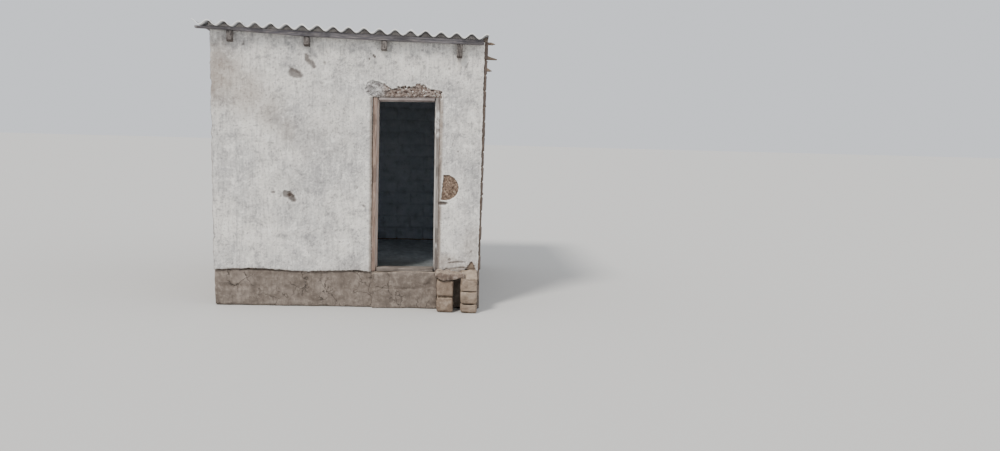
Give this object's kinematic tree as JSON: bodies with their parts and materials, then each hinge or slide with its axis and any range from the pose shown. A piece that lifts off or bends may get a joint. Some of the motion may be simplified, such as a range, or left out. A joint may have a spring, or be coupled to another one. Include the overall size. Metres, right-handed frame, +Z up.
{
  "type": "small adobe outbuilding",
  "caption": "Small one-room adobe building with a plastered front, an open doorway in a wooden frame and a lean-to roof of corrugated sheets.",
  "frame": {"origin": "on the ground, in the middle of the building's plan with its roof and step", "axes": "+Z up, the doorway's side faces -Y, +X to the right seen from the front"},
  "size_m": [2.9614, 2.95, 2.8491],
  "materials": {
    "adobe": "matte",
    "mud": "matte",
    "earth": "matte",
    "plaster": "matte",
    "weathered_wood": "matte",
    "asbestos_cement": "matte"
  },
  "bodies": {
    "root": {"front_wall_left": "adobe", "front_wall_right": "adobe", "front_wall_over_door": "adobe", "left_wall": "adobe", "right_wall": "adobe", "back_wall": "adobe", "step_block_left_lower": "adobe", "step_block_left_upper": "adobe", "step_block_right_lower": "adobe", "step_block_right_middle": "adobe", "step_block_right_upper": "adobe", "plinth_front": "mud", "plinth_back": "mud", "plinth_left": "mud", "plinth_right": "mud", "mud_packing": "mud", "mud_face_under_door": "mud", "gable_fill": "mud", "step_cap_slab": "mud", "earth_floor": "earth", "front_plaster_left": "plaster", "front_plaster_right": "plaster", "front_plaster_over_door": "plaster", "door_jamb_left": "weathered_wood", "door_jamb_right": "weathered_wood", "door_head": "weathered_wood", "door_sill": "weathered_wood", "door_lintel": "weathered_wood", "rafter_1": "weathered_wood", "rafter_2": "weathered_wood", "rafter_3": "weathered_wood", "rafter_4": "weathered_wood", "eave_purlin": "weathered_wood", "middle_purlin": "weathered_wood", "back_purlin": "weathered_wood", "front_sheet_left": "asbestos_cement", "front_sheet_middle": "asbestos_cement", "front_sheet_right": "asbestos_cement", "back_sheet_left": "asbestos_cement", "back_sheet_middle": "asbestos_cement", "back_sheet_right": "asbestos_cement"}
  },
  "joints": []
}
